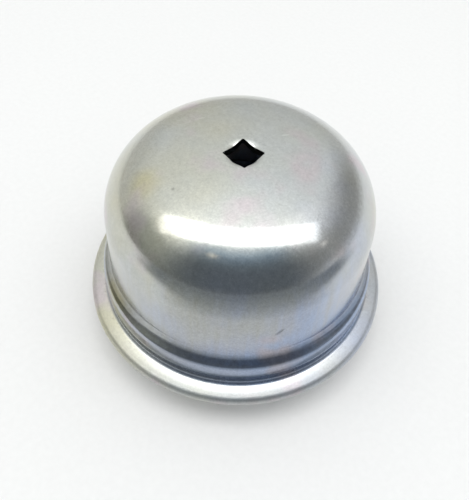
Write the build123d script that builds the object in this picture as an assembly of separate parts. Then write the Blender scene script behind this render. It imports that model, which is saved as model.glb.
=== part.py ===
from build123d import *
from math import asin, cos, degrees, radians, sin, sqrt, tan
import os

# Driving dimensions of the cap, in millimetres and degrees.
# Its axis is Z, and it stands on the rim of its skirt at z = 0.
SHEET = 1.0               # thickness of the steel sheet
SKIRT_DIAMETER = 52.8     # outside of the skirt, which is pressed into the hub
SKIRT_LENGTH = 6.5        # rim of the skirt to the seat under the flange
LEAD_IN = 0.4             # chamfer on the outer edge of the rim
NECK_RADIUS = 0.4         # hollow between the skirt and the seat
FLANGE_WIDTH = 3.1        # skirt to the folded edge
FLANGE_SLOPE = 10.5       # fall of the flange's upper face towards its edge
FOLD_GAP = 0.55           # slit between the two layers of the flange, next to the fold
ROOT_RADIUS = 1.05        # hollow between the flange and the waist above it
WAIST_LEAN = 11.5         # lean of the waist from the bead down to the flange, towards the axis
BEAD_DIAMETER = 53.0      # bead that runs round the foot of the wall, at its lower corner
BEAD_LOW = 5.9            # seat to that corner, where the bead meets the waist
BEAD_HEIGHT = 2.6         # that corner to the one where the bead meets the step
BEAD_DRAFT = 3.5          # lean of the bead towards the axis
BEAD_BEND = 0.9           # inside of the bend between the bead and the waist
BEAD_EDGE = 0.5           # inside of the bend between the bead and the step
STEP_WIDTH = 1.52         # bead to the foot of the wall
STEP_SLOPE = 43.0         # fall of the step from the wall to the bead
FOOT_RADIUS = 3.0         # hollow between the wall and the step
WALL_DRAFT = 1.5          # lean of the wall towards the axis
CAP_HEIGHT = 34.4         # seat to the top of the crown
SHOULDER_RADIUS = 12.4    # outside of the rounded shoulder
CROWN_RADIUS = 90.0       # outside of the shallow dome on top
DRIVE_SQUARE = 5.1        # across the flats of the drive hole
DRIVE_CORNER = 0.25       # rounding in the four corners of the drive hole
LIP_RADIUS = 0.8          # hollow under the bend where the sheet is drawn down into the hole
LIP_SLOPE = 40.0          # slope of the sheet past that bend
LIP_MARGIN = 0.05         # from the corners of the hole to the start of that bend

# Levels, radii and outside bends that follow from them
crown_top = SKIRT_LENGTH + CAP_HEIGHT
dome_centre = crown_top - CROWN_RADIUS
skirt_radius = SKIRT_DIAMETER / 2
lip_outside = LIP_RADIUS + SHEET
edge_outside = BEAD_EDGE + SHEET
bead_outside = BEAD_BEND + SHEET
fold_outside = FOLD_GAP / 2 + SHEET

# Directions that the outside faces look in, in degrees above the horizontal
wall_face = WALL_DRAFT
step_face = 90 - STEP_SLOPE
bead_face = BEAD_DRAFT
waist_face = -WAIST_LEAN
flange_face = 90 - FLANGE_SLOPE
seat_face = -90
skirt_face = 0


def facing(angle):
    """Unit vector of that direction in the section."""
    return Vector(cos(radians(angle)), sin(radians(angle)))


def bend_centre(corner, one_face, other_face, reach):
    """Point that lies that far outside both of the faces that meet in the corner."""
    one = facing(one_face)
    other = facing(other_face)
    return corner + (one + other) * (reach / (1 + one.dot(other)))


def under_dome(radius, angle):
    """Centre of an arc of that radius that touches the dome from within, at that angle from the axis."""
    return Vector(0, dome_centre) + facing(90 - angle) * (CROWN_RADIUS - radius)


# Corners of the outside in the section, as radius and height, before they are rounded
neck = Vector(skirt_radius, SKIRT_LENGTH)
bead_low = Vector(BEAD_DIAMETER / 2, SKIRT_LENGTH + BEAD_LOW)
bead_top = bead_low + Vector(-BEAD_HEIGHT * tan(radians(BEAD_DRAFT)), BEAD_HEIGHT)
wall_foot = bead_top + Vector(-STEP_WIDTH, STEP_WIDTH * tan(radians(STEP_SLOPE)))

# The flange's upper face is a straight line from its root, where it meets the waist, into the fold.
fold_centre = neck + Vector(FLANGE_WIDTH - fold_outside, fold_outside)
fold_start = fold_centre + facing(flange_face) * fold_outside
waist_drop = (bead_low - fold_start).dot(facing(flange_face)) / cos(radians(FLANGE_SLOPE - WAIST_LEAN))
flange_root = bead_low - facing(90 + waist_face) * waist_drop

# Angles from the axis at which the dome runs into the lip and into the shoulder.
# The shoulder touches both the dome and the leaning line of the wall.
lip_start = DRIVE_SQUARE / sqrt(2) + LIP_MARGIN
lip_angle = degrees(asin(lip_start / CROWN_RADIUS))
wall_reach = (wall_foot - Vector(0, dome_centre)).dot(facing(wall_face))
shoulder_reach = (wall_reach - SHOULDER_RADIUS) / (CROWN_RADIUS - SHOULDER_RADIUS)
shoulder_angle = degrees(asin(shoulder_reach)) - WALL_DRAFT

# Centres of the bends that both faces of the sheet share
lip_centre = under_dome(lip_outside, lip_angle)
shoulder_centre = under_dome(SHOULDER_RADIUS, shoulder_angle)
foot_centre = bend_centre(wall_foot, wall_face, step_face, FOOT_RADIUS)
edge_centre = bend_centre(bead_top, step_face, bead_face, -edge_outside)
bead_centre = bend_centre(bead_low, bead_face, waist_face, -bead_outside)
root_centre = bend_centre(flange_root, waist_face, flange_face, ROOT_RADIUS)
neck_centre = bend_centre(neck, seat_face, skirt_face, NECK_RADIUS)


def outward_bend(centre, radius, start, end):
    """Arc round a bend that bulges outwards, between the directions of its two faces."""
    return CenterArc(centre, radius, start, end - start)


def inward_bend(centre, radius, start, end):
    """Arc round a bend that is hollow on the outside, between the directions of its two faces."""
    return CenterArc(centre, radius, start + 180, end - start)


def sheet_face(depth):
    """One face of the sheet as a chain of edges in the section, from the drive hole to the rim.

    The outside face is at depth 0 and the inside face at SHEET.
    """
    lip = outward_bend(lip_centre, lip_outside - depth, 90 + LIP_SLOPE, 90 - lip_angle)
    bends = [
        lip,
        outward_bend((0, dome_centre), CROWN_RADIUS - depth, 90 - lip_angle, 90 - shoulder_angle),
        outward_bend(shoulder_centre, SHOULDER_RADIUS - depth, 90 - shoulder_angle, wall_face),
        inward_bend(foot_centre, FOOT_RADIUS + depth, wall_face, step_face),
        outward_bend(edge_centre, edge_outside - depth, step_face, bead_face),
        outward_bend(bead_centre, bead_outside - depth, bead_face, waist_face),
        inward_bend(root_centre, ROOT_RADIUS + depth, waist_face, flange_face),
        outward_bend(fold_centre, fold_outside - depth, flange_face, seat_face),
        inward_bend(neck_centre, NECK_RADIUS + depth, seat_face, skirt_face),
    ]
    # The sheet runs on down the lip's slope to well inside the hole, which then trims it.
    overrun = (lip @ 0).X - DRIVE_SQUARE / 4
    chain = [Line(lip @ 0 - Vector(overrun, overrun * tan(radians(LIP_SLOPE))), lip @ 0)]
    for bend in bends:
        # A straight stretch joins two bends that don't run straight into each other.
        if chain[-1] @ 1 != bend @ 0:
            chain.append(Line(chain[-1] @ 1, bend @ 0))
        chain.append(bend)
    chain.append(Line(chain[-1] @ 1, ((chain[-1] @ 1).X, 0)))
    return chain


def grease_cap():
    """The drawn sheet turned about the axis, with its drive hole and the lead-in of its skirt."""
    outside = sheet_face(0)
    inside = sheet_face(SHEET)
    ends = [Line(outside[0] @ 0, inside[0] @ 0), Line(outside[-1] @ 1, inside[-1] @ 1)]
    section = Plane.XZ * make_face([*outside, *inside, *ends])
    drive_hole = extrude(RectangleRounded(DRIVE_SQUARE, DRIVE_SQUARE, DRIVE_CORNER), crown_top)
    cap = revolve(section, Axis.Z) - drive_hole
    rim_edges = cap.edges().filter_by(GeomType.CIRCLE).group_by(Axis.Z)[0]
    return chamfer(rim_edges.sort_by(SortBy.RADIUS)[-1], LEAD_IN)


os.makedirs("parts", exist_ok=True)
export_step(grease_cap(), "parts/grease_cap.step")
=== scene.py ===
import bpy
from math import asin, cos, degrees, pi, radians, sin, sqrt, tan
from mathutils import Matrix, Vector


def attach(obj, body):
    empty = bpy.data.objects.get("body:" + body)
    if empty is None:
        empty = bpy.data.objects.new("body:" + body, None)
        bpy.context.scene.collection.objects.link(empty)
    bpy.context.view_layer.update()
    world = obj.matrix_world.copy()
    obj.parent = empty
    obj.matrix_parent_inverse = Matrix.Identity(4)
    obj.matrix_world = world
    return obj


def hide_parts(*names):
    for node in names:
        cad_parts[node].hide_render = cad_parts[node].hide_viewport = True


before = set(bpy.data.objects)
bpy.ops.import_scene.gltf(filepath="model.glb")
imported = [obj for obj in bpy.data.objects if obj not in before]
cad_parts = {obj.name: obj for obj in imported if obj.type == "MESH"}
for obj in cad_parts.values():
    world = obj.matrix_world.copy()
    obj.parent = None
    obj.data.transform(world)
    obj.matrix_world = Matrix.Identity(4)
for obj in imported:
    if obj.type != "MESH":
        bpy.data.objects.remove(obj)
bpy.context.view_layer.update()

MM = 0.001

# Sizes of the drawn sheet, which stands on the rim of its skirt. Slopes are in degrees.
SHEET = 1.0 * MM
SKIRT_RADIUS = 26.4 * MM
SKIRT_LENGTH = 6.5 * MM
LEAD_IN = 0.4 * MM
NECK_RADIUS = 0.4 * MM
FLANGE_WIDTH = 3.1 * MM
FLANGE_SLOPE = 10.5
FOLD_GAP = 0.55 * MM
ROOT_RADIUS = 1.05 * MM
WAIST_LEAN = 11.5
BEAD_RADIUS = 26.5 * MM
BEAD_LOW = 5.9 * MM
BEAD_HEIGHT = 2.6 * MM
BEAD_DRAFT = 3.5
BEAD_BEND = 0.9 * MM
BEAD_EDGE = 0.5 * MM
STEP_WIDTH = 1.52 * MM
STEP_SLOPE = 43.0
FOOT_RADIUS = 3.0 * MM
WALL_DRAFT = 1.5
CAP_HEIGHT = 34.4 * MM
SHOULDER_RADIUS = 12.4 * MM
CROWN_RADIUS = 90.0 * MM
DRIVE_SQUARE = 5.1 * MM
DRIVE_CORNER = 0.25 * MM
LIP_RADIUS = 0.8 * MM
LIP_SLOPE = 40.0
LIP_MARGIN = 0.05 * MM

# Directions that the outside faces look in, in degrees above the horizontal
WALL_FACE = WALL_DRAFT
STEP_FACE = 90 - STEP_SLOPE
BEAD_FACE = BEAD_DRAFT
WAIST_FACE = -WAIST_LEAN
FLANGE_FACE = 90 - FLANGE_SLOPE
SEAT_FACE = -90
SKIRT_FACE = 0

# How the sheet is drawn: divisions of a full turn, short runs that keep its straight stretches straight,
# the angle in degrees up to which its faces are shaded as one, and the distance that counts as one point
ROUND_STEPS = 240
EASE = 0.04 * MM
SMOOTH_ANGLE = 30
ONE_POINT = 0.001 * MM

# Heights over which one zone of the finish fades into the next, from the flange up to the shoulder
GROOVE_BOTTOM = (8.9 * MM, 9.2 * MM)
FLANGE_TOP = (9.8 * MM, 10.2 * MM)
BEAD_BOTTOM = (10.6 * MM, 12.2 * MM)
GROOVE_TOP = (10.8 * MM, 11.8 * MM)
BEAD_CREST = (15.0 * MM, 15.6 * MM)
FOOT_SHADE = (16.5 * MM, 20.5 * MM)
FOOT_FILM = (16 * MM, 28 * MM)
SHOULDER_FADE = (29 * MM, 38 * MM)

# Radii over which they do, from the groove under the bead out to the fold
GROOVE_INSIDE = (25.3 * MM, 25.6 * MM)
FLANGE_ROOT = (26.4 * MM, 26.8 * MM)
GROOVE_OUTSIDE = (26.5 * MM, 26.9 * MM)
FLANGE_GREYING = (26.9 * MM, 28.6 * MM)
FOLD_EDGE = (28.5 * MM, 28.9 * MM)

# Places on the cap where its film is thin, and of its marks of use
THIN_FILM_HIGH = Vector((-7.9, -15.1, 38.9)) * MM
THIN_FILM_LOW = Vector((-8.5, -23.4, 14.4)) * MM
LONG_SCRATCH = Vector((1.77, 8.82, 40.45)) * MM
SHORT_SCRATCH = Vector((-11.77, 1.80, 40.10)) * MM
CROWN_SPECK = Vector((-2.84, -13.34, 39.86)) * MM
WALL_SCUFF = Vector((21.12, -12.69, 23.48)) * MM

# The camera of the photograph: degrees, metres and pixels of its frame
PICTURE_WIDTH = 469
PICTURE_HEIGHT = 500
VIEW_AZIMUTH = 40.7
VIEW_ELEVATION = 50.3
VIEW_ROLL = 3.55
VIEW_DISTANCE = 0.11433
VIEW_FOCUS = 598.15
AIM_HEIGHT = 21.5 * MM
AIM_X = 239.14
AIM_Y = 227.01

# The studio in metres, laid out round the cap's shoulder, with its front turned to the right of the camera.
# The lamp's edges are given by their distance from the axis, and its ends taper out to their tips.
SHOULDER_HEIGHT = 33 * MM
STUDIO_TURN = 8
FLOOR_SIZE = 6
LAMP_RISE = 0.50
LAMP_SIDE = 0.40
LAMP_TIP = 0.72
LAMP_FAR = -0.065
LAMP_NEAR = 0.17
LAMP_RADIANCE = 1.8

# Directions of the photograph in the plane of the floor, and the turn that lies square to them
to_camera = Vector((sin(radians(VIEW_AZIMUTH)), -cos(radians(VIEW_AZIMUTH)), 0))
to_right = Vector((cos(radians(VIEW_AZIMUTH)), sin(radians(VIEW_AZIMUTH)), 0))
upwards = Vector((0, 0, 1))
square_on = Matrix((to_right, -to_camera, upwards)).transposed().to_4x4()


def facing(angle):
    """Unit vector of a direction in the section, whose two axes are radius and height."""
    return Vector((cos(radians(angle)), sin(radians(angle))))


def bend_centre(corner, one_face, other_face, reach):
    """Point that lies that far outside both of the faces that meet in the corner."""
    one = facing(one_face)
    other = facing(other_face)
    return corner + (one + other) * (reach / (1 + one.dot(other)))


def face_bends(depth):
    """Bends of one face of the sheet, from the drive hole to the rim of the skirt.

    Each has its centre, its radius, the two directions between which it runs and its steps. The
    outside face is at depth 0 and the inside face at SHEET.
    """
    dome_centre = Vector((0, SKIRT_LENGTH + CAP_HEIGHT - CROWN_RADIUS))
    fold_outside = FOLD_GAP / 2 + SHEET
    lip_outside = LIP_RADIUS + SHEET
    edge_outside = BEAD_EDGE + SHEET
    bead_outside = BEAD_BEND + SHEET

    # Corners of the outside before they are rounded
    neck = Vector((SKIRT_RADIUS, SKIRT_LENGTH))
    bead_low = Vector((BEAD_RADIUS, SKIRT_LENGTH + BEAD_LOW))
    bead_top = bead_low + Vector((-BEAD_HEIGHT * tan(radians(BEAD_DRAFT)), BEAD_HEIGHT))
    wall_foot = bead_top + Vector((-STEP_WIDTH, STEP_WIDTH * tan(radians(STEP_SLOPE))))
    fold_centre = neck + Vector((FLANGE_WIDTH - fold_outside, fold_outside))
    fold_start = fold_centre + facing(FLANGE_FACE) * fold_outside
    waist_drop = (bead_low - fold_start).dot(facing(FLANGE_FACE)) / cos(radians(FLANGE_SLOPE - WAIST_LEAN))
    flange_root = bead_low - facing(90 + WAIST_FACE) * waist_drop

    # Angles from the axis at which the dome runs into the lip and into the shoulder
    lip_angle = degrees(asin((DRIVE_SQUARE / sqrt(2) + LIP_MARGIN) / CROWN_RADIUS))
    wall_reach = (wall_foot - dome_centre).dot(facing(WALL_FACE))
    shoulder_reach = (wall_reach - SHOULDER_RADIUS) / (CROWN_RADIUS - SHOULDER_RADIUS)
    shoulder_angle = degrees(asin(shoulder_reach)) - WALL_DRAFT

    lip_centre = dome_centre + facing(90 - lip_angle) * (CROWN_RADIUS - lip_outside)
    shoulder_centre = dome_centre + facing(90 - shoulder_angle) * (CROWN_RADIUS - SHOULDER_RADIUS)
    foot_centre = bend_centre(wall_foot, WALL_FACE, STEP_FACE, FOOT_RADIUS)
    edge_centre = bend_centre(bead_top, STEP_FACE, BEAD_FACE, -edge_outside)
    bead_centre = bend_centre(bead_low, BEAD_FACE, WAIST_FACE, -bead_outside)
    root_centre = bend_centre(flange_root, WAIST_FACE, FLANGE_FACE, ROOT_RADIUS)
    neck_centre = bend_centre(neck, SEAT_FACE, SKIRT_FACE, NECK_RADIUS)
    return [
        (lip_centre, lip_outside - depth, 90 + LIP_SLOPE, 90 - lip_angle, 14),
        (dome_centre, CROWN_RADIUS - depth, 90 - lip_angle, 90 - shoulder_angle, 16),
        (shoulder_centre, SHOULDER_RADIUS - depth, 90 - shoulder_angle, WALL_FACE, 44),
        (foot_centre, FOOT_RADIUS + depth, WALL_FACE + 180, STEP_FACE + 180, 20),
        (edge_centre, edge_outside - depth, STEP_FACE, BEAD_FACE, 16),
        (bead_centre, bead_outside - depth, BEAD_FACE, WAIST_FACE, 8),
        (root_centre, ROOT_RADIUS + depth, WAIST_FACE + 180, FLANGE_FACE + 180, 16),
        (fold_centre, fold_outside - depth, FLANGE_FACE, SEAT_FACE, 24),
        (neck_centre, NECK_RADIUS + depth, SEAT_FACE + 180, SKIRT_FACE + 180, 10),
    ]


def run_out(lip):
    """Point to which a face of the sheet runs on past its lip, well inside the drive hole."""
    centre, radius, start = lip[:3]
    end = centre + facing(start) * radius
    overrun = end.x - DRIVE_SQUARE / 4
    return end - Vector((overrun, overrun * tan(radians(LIP_SLOPE))))


def edit_new_piece(name):
    """Names the primitive that was just added, puts its place in its mesh and goes into edit mode."""
    piece = bpy.context.object
    piece.name = name
    piece.data.name = name
    bpy.ops.object.transform_apply(location=True, rotation=True, scale=True)
    bpy.ops.object.mode_set(mode="EDIT")
    return piece


def edit_new_point(name, place):
    """New piece that is a single point, selected in edit mode."""
    bpy.ops.object.select_all(action="DESELECT")
    bpy.ops.mesh.primitive_plane_add(size=SHEET, location=place)
    piece = edit_new_piece(name)
    bpy.ops.mesh.select_mode(type="VERT")
    bpy.ops.mesh.select_all(action="SELECT")
    bpy.ops.mesh.merge(type="CENTER")
    return piece


class Pen:
    """Draws the section of the sheet in edit mode, as a chain of edges in the plane y = 0."""

    def __init__(self, start):
        self.place = start

    def move(self, end):
        """One straight edge to a point."""
        step = end - self.place
        bpy.ops.mesh.extrude_region_move(TRANSFORM_OT_translate={"value": (step.x, 0, step.y)})
        self.place = end

    def line(self, end):
        """Straight stretch to a point, with a short run at each end of it."""
        stretch = end - self.place
        if stretch.length < ONE_POINT:
            return
        ease = stretch.normalized() * EASE
        if stretch.length > 4 * EASE:
            self.move(self.place + ease)
            self.move(end - ease)
        self.move(end)

    def bend(self, centre, radius, start, end, steps):
        """Arc between two directions from its centre, with the straight stretch that leads to it."""
        self.line(centre + facing(start) * radius)
        bpy.ops.mesh.spin(
            steps=steps, angle=radians(end - start), center=(centre.x, 0, centre.y), axis=(0, 1, 0))
        self.place = centre + facing(end) * radius


def drive_punch():
    """Square punch with rounded edges that cuts the drive hole."""
    bpy.ops.object.select_all(action="DESELECT")
    bpy.ops.mesh.primitive_cube_add(size=1, location=(0, 0, SKIRT_LENGTH + CAP_HEIGHT))
    bpy.context.object.scale = (DRIVE_SQUARE, DRIVE_SQUARE, CAP_HEIGHT)
    punch = edit_new_piece("drive_punch")
    bpy.ops.mesh.select_mode(type="EDGE")
    bpy.ops.mesh.select_all(action="DESELECT")
    bpy.ops.object.mode_set(mode="OBJECT")
    points = punch.data.vertices
    for edge in punch.data.edges:
        low, high = (points[i].co for i in edge.vertices)
        edge.select = (low.xy - high.xy).length < ONE_POINT
    bpy.ops.object.mode_set(mode="EDIT")
    bpy.ops.mesh.bevel(offset=DRIVE_CORNER, segments=6)
    bpy.ops.object.mode_set(mode="OBJECT")
    return punch


def make_cap():
    """The whole cap: the closed section of the sheet spun round the axis, with its drive hole."""
    outside = face_bends(0)
    inside = face_bends(SHEET)
    start = run_out(outside[0])
    piece = edit_new_point("drawn_sheet", (start.x, 0, start.y))
    pen = Pen(start)
    for bend in outside:
        pen.bend(*bend)
    pen.line(Vector((SKIRT_RADIUS, LEAD_IN)))
    pen.line(Vector((SKIRT_RADIUS - LEAD_IN, 0)))
    pen.line(Vector((SKIRT_RADIUS - SHEET, 0)))
    for centre, radius, first, last, steps in reversed(inside):
        pen.bend(centre, radius, last, first, steps // 2)
    pen.line(run_out(inside[0]))
    pen.line(start)
    bpy.ops.mesh.select_all(action="SELECT")
    bpy.ops.mesh.spin(steps=ROUND_STEPS, angle=2 * pi, center=(0, 0, 0), axis=(0, 0, 1))
    bpy.ops.mesh.select_all(action="SELECT")
    bpy.ops.mesh.remove_doubles(threshold=ONE_POINT)
    bpy.ops.mesh.normals_make_consistent(inside=False)
    bpy.ops.object.mode_set(mode="OBJECT")

    punch = drive_punch()
    cut = piece.modifiers.new("drive_hole", "BOOLEAN")
    cut.operation = "DIFFERENCE"
    cut.solver = "EXACT"
    cut.object = punch
    bpy.context.view_layer.objects.active = piece
    bpy.ops.object.modifier_apply(modifier=cut.name)
    bpy.data.objects.remove(punch)
    bpy.ops.object.select_all(action="DESELECT")
    piece.select_set(True)
    bpy.context.view_layer.objects.active = piece
    bpy.ops.object.shade_smooth_by_angle(angle=radians(SMOOTH_ANGLE))
    return piece


class Value:
    """Output socket of a node. Python's operators on it add Math nodes, so it is for numbers."""

    def __init__(self, nodes, socket):
        self.nodes = nodes
        self.socket = socket

    def math(self, operation, *terms):
        return self.nodes.add("ShaderNodeMath", {"operation": operation}, dict(enumerate(terms)))

    def __add__(self, other):
        return self.math("ADD", self, other)

    def __radd__(self, other):
        return self.math("ADD", other, self)

    def __sub__(self, other):
        return self.math("SUBTRACT", self, other)

    def __rsub__(self, other):
        return self.math("SUBTRACT", other, self)

    def __mul__(self, other):
        return self.math("MULTIPLY", self, other)

    def __rmul__(self, other):
        return self.math("MULTIPLY", other, self)

    def __truediv__(self, other):
        return self.math("DIVIDE", self, other)


class Nodes:
    """Node tree of a material or of the world, built from nothing."""

    def __init__(self, owner):
        owner.use_nodes = True
        self.tree = owner.node_tree
        self.tree.nodes.clear()

    def add(self, kind, settings=None, inputs=None, output=0):
        """Adds a node, with its settings first and then the values or links of its inputs."""
        node = self.tree.nodes.new(kind)
        for key, value in (settings or {}).items():
            if key == "stops":
                self.set_stops(node.color_ramp, value)
            else:
                setattr(node, key, value)
        for key, value in (inputs or {}).items():
            if isinstance(value, Value):
                self.tree.links.new(value.socket, node.inputs[key])
            else:
                node.inputs[key].default_value = value
        return Value(self, node.outputs[output]) if node.outputs else None

    @staticmethod
    def set_stops(ramp, stops):
        """Puts the stops, each a position and a colour, into a new colour ramp."""
        while len(ramp.elements) < len(stops):
            ramp.elements.new(1)
        for element, (position, colour) in zip(ramp.elements, stops):
            element.position = position
            element.color = (*colour, 1)

    def ramp(self, value, stops):
        """Colour that runs through the stops as the value goes from 0 to 1."""
        return self.add("ShaderNodeValToRGB", {"stops": stops}, {"Fac": value})

    def range(self, value, low, high):
        """Smooth step of the value from 0 at low to 1 at high."""
        return self.add(
            "ShaderNodeMapRange", {"interpolation_type": "SMOOTHSTEP"},
            {"Value": value, "From Min": low, "From Max": high})

    def blend(self, factor, one, other):
        """Colour between two others."""
        return self.add("ShaderNodeMix", {"data_type": "RGBA"}, {0: factor, 6: one, 7: other}, 2)

    def vector(self, operation, *terms):
        """Sum, product or other new vector from vectors or colours."""
        return self.add("ShaderNodeVectorMath", {"operation": operation}, dict(enumerate(terms)))

    def shaded(self, colour, factor):
        """Colour made darker or lighter by a factor."""
        return self.add("ShaderNodeVectorMath", {"operation": "SCALE"}, {0: colour, "Scale": factor})

    def noise(self, place, scale, detail, roughness, shift=(0, 0, 0)):
        """Cloudy pattern of a size of one over the scale, in metres, moved so that no two are alike."""
        return self.add(
            "ShaderNodeTexNoise", {},
            {"Vector": self.vector("ADD", place, shift), "Scale": scale, "Detail": detail,
             "Roughness": roughness})

    def along(self, place, direction):
        """How far a place lies along a direction from the origin."""
        return self.add(
            "ShaderNodeVectorMath", {"operation": "DOT_PRODUCT"}, {0: place, 1: direction}, "Value")

    def length(self, vector):
        """Length of a vector."""
        return self.add("ShaderNodeVectorMath", {"operation": "LENGTH"}, {0: vector}, "Value")

    def axis_distance(self, place):
        """Distance from the cap's axis."""
        return self.length(self.vector("MULTIPLY", place, (1, 1, 0)))

    def spot(self, place, centre, radius):
        """Soft round spot that is 1 at its centre, in metres."""
        return 1 - self.range(self.length(self.vector("SUBTRACT", place, centre)), 0, radius)

    def scratch(self, place, centre, direction, length, width):
        """Soft straight mark that is 1 at its centre, in metres."""
        offset = self.vector("SUBTRACT", place, centre)
        lengthwise = self.along(offset, direction) / length
        distance = self.length(offset) / width
        crosswise = distance * distance - lengthwise * lengthwise * (length / width) ** 2
        return 1 - self.range(lengthwise * lengthwise * 4 + crosswise * 4, 0, 1)


def zinc_plate():
    """Semi-bright zinc on drawn steel, under a clear passivate whose thin film gives faint colours."""
    material = bpy.data.materials.new("zinc_plate")
    nodes = Nodes(material)
    place = nodes.add("ShaderNodeTexCoord", output="Object")
    radius = nodes.axis_distance(place)
    height = nodes.along(place, upwards)
    below_foot = 1 - nodes.range(height, *BEAD_CREST)
    on_flange = nodes.range(radius, *FLANGE_ROOT) * (1 - nodes.range(height, *FLANGE_TOP))
    # The flange greys towards its outer edge, and is rougher there
    at_edge = on_flange * nodes.range(radius, *FLANGE_GREYING)
    on_fold = nodes.range(radius, *FOLD_EDGE)
    # Bead: darker and bluer with painted shade, for the shaded floor near the cap that it mirrors
    on_bead = below_foot * nodes.range(height, *BEAD_BOTTOM)
    # Groove between the bead and the flange: darker and bluer with painted shade, and rougher
    in_groove = (
        nodes.range(height, *GROOVE_BOTTOM) * (1 - nodes.range(height, *GROOVE_TOP))
        * nodes.range(radius, *GROOVE_INSIDE) * (1 - nodes.range(radius, *GROOVE_OUTSIDE)))
    # Wall: darker than the crown, partly a duller drawn finish and partly painted shade for the shaded
    # floor that it mirrors
    on_wall = (1 - below_foot) * (1 - nodes.range(height, *SHOULDER_FADE))
    # Painted shade: the wall darkens towards its foot, and more at its sides, to stand in for the dark
    # reflection of shade along the foot
    foot_painted_shade = on_wall * (1 - nodes.range(height, *FOOT_SHADE))
    near_foot = 1 - nodes.range(height, *FOOT_FILM)
    drift = nodes.along(place, to_right) / (25 * MM)
    sideways = nodes.range(drift * drift, 0.25, 0.65)
    far_right = nodes.range(drift, 0.76, 0.97)

    # Draw marks run up the wall, and a mottle and a fine grain lie on everything.
    drawn = nodes.vector("MULTIPLY", place, (1, 1, 0.06))
    streaks = nodes.noise(drawn, scale=800, detail=3, roughness=0.6) - 0.5
    mottle = nodes.noise(place, scale=1200, detail=3, roughness=0.6, shift=(0.3, 0.1, 0.2)) - 0.5
    grain = nodes.noise(place, scale=3200, detail=2, roughness=0.6, shift=(0.2, 0.3, 0.1)) - 0.5

    # Film of the passivate: straw where it is thin, then pale and blue. It is thicker on the right of the
    # wall and at its foot, and it is rose in patches. On the bead and in the groove under it, the extra
    # blue is painted shade for the bluish shade that they mirror.
    clouds = nodes.noise(place, scale=70, detail=2.5, roughness=0.55) - 0.5
    blush = nodes.noise(place, scale=110, detail=2, roughness=0.5, shift=(0.5, 0.1, 0.4))
    crown_film = 0.40 + 0.16 * drift + 0.50 * clouds + 0.32 * on_bead + 0.26 * in_groove
    wall_film = (
        0.52 + (0.16 + 0.24 * near_foot) * drift - 0.35 * far_right
        + 0.80 * clouds + 0.30 * streaks + 0.16 * near_foot)
    film = crown_film + on_wall * (wall_film - crown_film)
    film = film - 0.20 * nodes.spot(place, THIN_FILM_HIGH, radius=4.5 * MM)
    film = film - 0.30 * nodes.spot(place, THIN_FILM_LOW, radius=6.0 * MM)
    film_colour = nodes.ramp(film, [
        (0.08, (0.620, 0.590, 0.420)),
        (0.26, (0.615, 0.610, 0.525)),
        (0.40, (0.600, 0.615, 0.585)),
        (0.50, (0.590, 0.612, 0.620)),
        (0.64, (0.555, 0.595, 0.680)),
        (0.80, (0.480, 0.570, 0.755)),
        (0.95, (0.445, 0.555, 0.780)),
    ])
    rose = (0.64, 0.575, 0.60, 1)
    film_colour = nodes.blend(0.8 * nodes.range(blush, 0.54, 0.72), film_colour, rose)

    # A few marks of use: two scratches on the crown, a speck beside them and a scuff on the wall
    slant = (to_right * 0.95 - to_camera * 0.3).normalized()
    rising = (to_right + upwards).normalized()
    scratches = (
        nodes.scratch(place, LONG_SCRATCH, slant, length=2.6 * MM, width=0.30 * MM)
        + nodes.scratch(place, SHORT_SCRATCH, slant, length=2.2 * MM, width=0.30 * MM))
    scuff = nodes.scratch(place, WALL_SCUFF, rising, length=3.0 * MM, width=1.0 * MM)
    speck = nodes.spot(place, CROWN_SPECK, radius=0.5 * MM)

    # Brightness of the base colour: random tone and marks of use, and painted shade on the wall, its foot,
    # the bead and the groove
    shade = (
        1 - 0.16 * on_wall - (0.14 + 0.24 * sideways) * foot_painted_shade - 0.24 * on_bead
        - 0.05 * on_flange - 0.12 * at_edge + 0.10 * on_fold - 0.20 * in_groove
        + 0.20 * on_wall * streaks + 0.26 * mottle + 0.32 * grain
        + 0.20 * scratches - 0.30 * scuff - 0.35 * speck)
    roughness = (
        0.16 + 0.10 * streaks + 0.10 * mottle
        + 0.12 * on_flange + 0.20 * at_edge + 0.10 * in_groove + 0.20 * scuff)

    # Slight waves of the drawn sheet, and an unevenness that is finer
    waves = nodes.noise(place, scale=95, detail=1.5, roughness=0.5, shift=(0.1, 0.4, 0.3))
    peel = nodes.noise(place, scale=650, detail=2, roughness=0.5, shift=(0.4, 0.2, 0.1))
    normal = nodes.add(
        "ShaderNodeBump", {}, {"Strength": 1.0, "Distance": 0.05 * MM, "Height": waves + 0.08 * peel})
    shader = nodes.add("ShaderNodeBsdfPrincipled", {}, {
        "Base Color": nodes.shaded(film_colour, shade), "Metallic": 1.0,
        "Roughness": roughness, "Normal": normal})
    nodes.add("ShaderNodeOutputMaterial", {}, {"Surface": shader})
    return material


def stage_paper():
    """Matt white paper of the floor."""
    material = bpy.data.materials.new("stage_paper")
    nodes = Nodes(material)
    place = nodes.add("ShaderNodeTexCoord", output="Object")
    grain = nodes.noise(place, scale=800, detail=2, roughness=0.5)
    colour = nodes.ramp(grain, [(0.3, (0.80, 0.80, 0.80)), (0.7, (0.82, 0.82, 0.82))])
    shader = nodes.add("ShaderNodeBsdfPrincipled", {}, {"Base Color": colour, "Roughness": 0.9})
    nodes.add("ShaderNodeOutputMaterial", {}, {"Surface": shader})
    return material


def pale_floor():
    """Wide floor of white paper that the cap stands on."""
    bpy.ops.object.select_all(action="DESELECT")
    bpy.ops.mesh.primitive_plane_add(size=FLOOR_SIZE)
    floor = bpy.context.object
    floor.name = "floor"
    floor.data.materials.append(stage_paper())


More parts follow.
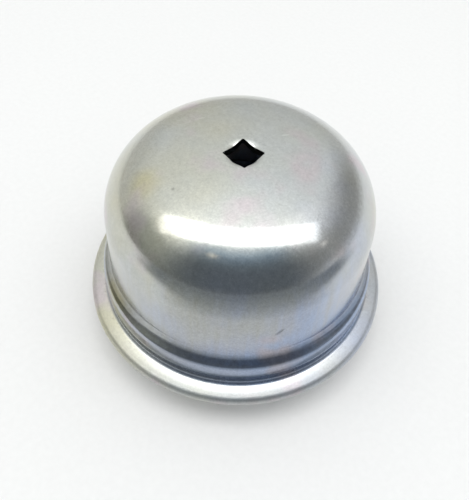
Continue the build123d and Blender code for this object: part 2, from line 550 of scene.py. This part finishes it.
def pale_world():
    """Pale surround, brighter towards the top."""
    world = bpy.data.worlds.new("studio")
    bpy.context.scene.world = world
    nodes = Nodes(world)
    sky = nodes.add("ShaderNodeTexCoord", output="Generated")
    colour = nodes.ramp(nodes.along(sky, upwards), [
        (0.00, (0.62, 0.62, 0.61)),
        (0.34, (0.65, 0.66, 0.65)),
        (0.56, (0.77, 0.78, 0.77)),
        (0.79, (0.90, 0.92, 0.91)),
        (0.87, (1.11, 1.13, 1.12)),
        (0.93, (1.36, 1.38, 1.37)),
        (1.00, (1.38, 1.38, 1.38)),
    ])
    nodes.add("ShaderNodeOutputWorld", {}, {
        "Surface": nodes.add("ShaderNodeBackground", {}, {"Color": colour, "Strength": 1.0})})


def seen_at(azimuth, elevation=0):
    """Direction from the cap: azimuth to the right of the camera, and elevation, in degrees."""
    flat = to_camera * cos(radians(azimuth)) + to_right * sin(radians(azimuth))
    return flat * cos(radians(elevation)) + upwards * sin(radians(elevation))


def new_tone(card):
    """Empty material of a card, with its nodes and the place on the card."""
    material = bpy.data.materials.new(card.name)
    card.data.materials.append(material)
    nodes = Nodes(material)
    return nodes, nodes.add("ShaderNodeTexCoord", output="Object")


def finish_card(card, nodes, tone, cover):
    """Gives a card its glow where it covers, and keeps it out of sight but for reflections in the metal."""
    glow = nodes.add("ShaderNodeEmission", {}, {"Color": tone, "Strength": 1.0})
    clear = nodes.add("ShaderNodeBsdfTransparent")
    nodes.add("ShaderNodeOutputMaterial", {}, {
        "Surface": nodes.add("ShaderNodeMixShader", {}, {0: cover, 1: clear, 2: glow})})
    for kind in ("camera", "diffuse", "shadow", "transmission", "volume_scatter"):
        setattr(card, "visible_" + kind, False)


def surround_card(name, distance, left, right, top):
    """Tall card bent round the front of the cap: dark behind the camera, greyer at both sides."""
    card = edit_new_point(name, seen_at(left) * distance)
    bpy.ops.mesh.extrude_region_move(
        TRANSFORM_OT_translate={"value": (0, 0, distance * tan(radians(top)))})
    bpy.ops.mesh.select_all(action="SELECT")
    bpy.ops.mesh.spin(steps=96, angle=-radians(right - left), center=(0, 0, 0), axis=(0, 0, 1))
    bpy.ops.object.mode_set(mode="OBJECT")

    # Elevation as a share of a right angle, and how far a place lies to the front and to the right
    nodes, place = new_tone(card)
    rise = (nodes.along(place, upwards) - SHOULDER_HEIGHT) / distance
    up = rise.math("ARCTANGENT", rise) / (pi / 2)
    ahead = nodes.along(place, seen_at(STUDIO_TURN)) / distance
    rightness = nodes.range(nodes.along(place, seen_at(STUDIO_TURN + 90)) / distance, -0.2, 0.2)
    front = nodes.ramp(up, [
        (0.000, (0.150, 0.165, 0.185)),
        (0.050, (0.130, 0.148, 0.172)),
        (0.330, (0.115, 0.133, 0.160)),
        (0.440, (0.135, 0.163, 0.195)),
        (0.510, (0.165, 0.210, 0.265)),
        (0.580, (0.225, 0.290, 0.370)),
        (0.620, (0.360, 0.450, 0.550)),
        (0.667, (0.510, 0.610, 0.700)),
        (0.710, (0.640, 0.710, 0.780)),
        (0.755, (0.800, 0.860, 0.910)),
        (0.800, (1.000, 1.030, 1.050)),
    ])
    left_side = nodes.ramp(up, [
        (0.02, (0.285, 0.295, 0.270)),
        (0.13, (0.350, 0.365, 0.340)),
        (0.31, (0.420, 0.440, 0.420)),
        (0.40, (0.580, 0.600, 0.590)),
        (0.47, (0.830, 0.850, 0.830)),
        (0.56, (1.080, 1.100, 1.080)),
        (0.67, (1.280, 1.300, 1.280)),
    ])
    right_side = nodes.ramp(up, [
        (0.01, (0.640, 0.640, 0.620)),
        (0.10, (0.390, 0.385, 0.360)),
        (0.22, (0.345, 0.340, 0.310)),
        (0.33, (0.390, 0.385, 0.360)),
        (0.42, (0.540, 0.535, 0.510)),
        (0.53, (0.800, 0.800, 0.780)),
        (0.60, (1.000, 1.000, 0.980)),
        (0.69, (1.280, 1.280, 1.270)),
    ])
    in_front = nodes.range(ahead - 0.10 * rightness, 0.26, 0.80)
    tone = nodes.blend(in_front, nodes.blend(rightness, left_side, right_side), front)

    # It fades out at its two ends and at its top.
    between_ends = nodes.range(ahead + 0.45 + 0.40 * rightness, 0, 0.35)
    under_top = 1 - nodes.range(up, 0.74, 0.82)
    finish_card(card, nodes, tone, between_ends * under_top)


def lying_card(name, inner, outer):
    """Grey card that lies in a half ring on the floor in front of the cap, darker further out: painted
    shadow on the floor, which only the metal's reflections show.
    """
    start = seen_at(-90)
    card = edit_new_point(name, start * inner + upwards * MM)
    bpy.ops.mesh.extrude_region_move(TRANSFORM_OT_translate={"value": start * (outer - inner)})
    bpy.ops.mesh.select_all(action="SELECT")
    bpy.ops.mesh.spin(steps=48, angle=-pi, center=(0, 0, 0), axis=(0, 0, 1))
    bpy.ops.object.mode_set(mode="OBJECT")
    nodes, place = new_tone(card)
    distance = nodes.axis_distance(place)
    tone = nodes.ramp(distance / (200 * MM), [
        (0.16, (0.79, 0.80, 0.80)),
        (0.19, (0.76, 0.77, 0.78)),
        (0.25, (0.59, 0.61, 0.62)),
        (0.31, (0.51, 0.53, 0.54)),
        (0.39, (0.41, 0.43, 0.44)),
        (0.54, (0.34, 0.36, 0.37)),
        (1.00, (0.25, 0.27, 0.29)),
    ])

    # It fades out towards both sides, further round where it is far from the cap.
    ahead = nodes.along(place, seen_at(STUDIO_TURN)) / distance
    wider = 0.4 * nodes.range(distance, 60 * MM, 150 * MM)
    finish_card(card, nodes, tone, nodes.range(ahead + wider, 0.47, 0.88))


def spot_card(name, distance, azimuth, elevation, size, colour):
    """Small round glow, as of a bulb, in a direction from the cap's shoulder."""
    bpy.ops.object.select_all(action="DESELECT")
    bpy.ops.mesh.primitive_circle_add(vertices=32, radius=size / 2, fill_type="NGON")
    card = bpy.context.object
    direction = seen_at(azimuth, elevation)
    centre = direction * distance + upwards * SHOULDER_HEIGHT
    card.matrix_world = Matrix.Translation(centre) @ direction.to_track_quat("Z", "Y").to_matrix().to_4x4()
    bpy.context.view_layer.update()
    edit_new_piece(name)
    bpy.ops.object.mode_set(mode="OBJECT")
    nodes, place = new_tone(card)
    finish_card(card, nodes, (*colour, 1), nodes.spot(place, centre, size / 2))


def lamp_end(name, side):
    """Tapered end of the lamp, on its left or right side, as the metal mirrors it."""
    bpy.ops.object.select_all(action="DESELECT")
    bpy.ops.mesh.primitive_plane_add(size=1)
    card = bpy.context.object
    centre = (
        to_right * side * (LAMP_SIDE + LAMP_TIP) / 2 + to_camera * (LAMP_FAR + LAMP_NEAR) / 2
        + upwards * (SHOULDER_HEIGHT + LAMP_RISE))
    spread = Matrix.Diagonal((LAMP_TIP - LAMP_SIDE, LAMP_NEAR - LAMP_FAR, 1, 1))
    card.matrix_world = Matrix.Translation(centre) @ square_on @ spread
    bpy.context.view_layer.update()
    edit_new_piece(name)
    bpy.ops.object.mode_set(mode="OBJECT")

    # Its far edge slants from the lamp's far edge to the near one, which it meets at the tip.
    nodes, place = new_tone(card)
    taper = nodes.range(nodes.along(place, to_right * side), LAMP_SIDE, LAMP_TIP)
    far_edge = LAMP_FAR + (LAMP_NEAR - LAMP_FAR) * taper
    softness = 0.1 * (LAMP_NEAR - LAMP_FAR)
    cover = nodes.range(nodes.along(place, to_camera) - far_edge, 0, softness)
    finish_card(card, nodes, (LAMP_RADIANCE, LAMP_RADIANCE, LAMP_RADIANCE, 1), cover)


def strip_lamp(name):
    """Long soft lamp that hangs level over the cap and lights straight down."""
    lamp = bpy.data.lights.new(name, "AREA")
    lamp.shape = "RECTANGLE"
    lamp.size = 2 * LAMP_SIDE
    lamp.size_y = LAMP_NEAR - LAMP_FAR
    lamp.energy = LAMP_RADIANCE * pi * lamp.size * lamp.size_y
    holder = bpy.data.objects.new(name, lamp)
    bpy.context.scene.collection.objects.link(holder)
    centre = to_camera * (LAMP_FAR + LAMP_NEAR) / 2 + upwards * (SHOULDER_HEIGHT + LAMP_RISE)
    holder.matrix_world = Matrix.Translation(centre) @ square_on


def photo_camera():
    """Camera at the photograph's angle, aimed at a point on the cap's axis that lies off the middle."""
    lens = bpy.data.cameras.new("camera")
    camera = bpy.data.objects.new("camera", lens)
    bpy.context.scene.collection.objects.link(camera)
    lens.sensor_fit = "HORIZONTAL"
    lens.lens = lens.sensor_width * VIEW_FOCUS / PICTURE_WIDTH
    lens.shift_x = (PICTURE_WIDTH / 2 - AIM_X) / PICTURE_WIDTH
    lens.shift_y = (AIM_Y - PICTURE_HEIGHT / 2) / PICTURE_WIDTH
    lens.clip_start = 1 * MM
    outwards = seen_at(0, VIEW_ELEVATION)
    camera.matrix_world = (
        Matrix.Translation(upwards * AIM_HEIGHT + outwards * VIEW_DISTANCE)
        @ outwards.to_track_quat("Z", "Y").to_matrix().to_4x4()
        @ Matrix.Rotation(radians(VIEW_ROLL), 4, "Z"))
    bpy.context.scene.camera = camera


cap = make_cap()
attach(cap, "root")
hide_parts("grease_cap")
cap.data.materials.clear()
cap.data.materials.append(zinc_plate())

# The studio: floor and surround, the cards that the metal mirrors, and the lamp
pale_floor()
pale_world()
surround_card("grey_surround", distance=0.80, left=-110, right=160, top=74)
spot_card(
    "warm_spot_left", distance=0.30, azimuth=-24.5, elevation=49.5, size=40 * MM, colour=(1.9, 1.7, 1.4))
spot_card(
    "warm_spot_right", distance=0.30, azimuth=75, elevation=28.5, size=40 * MM, colour=(1.5, 1.4, 1.25))
lying_card("painted_floor_shadow_card", inner=32 * MM, outer=0.78)
strip_lamp("lamp_overhead")
lamp_end("lamp_end_left", side=-1)
lamp_end("lamp_end_right", side=1)

photo_camera()
bpy.context.scene.view_settings.view_transform = "Standard"
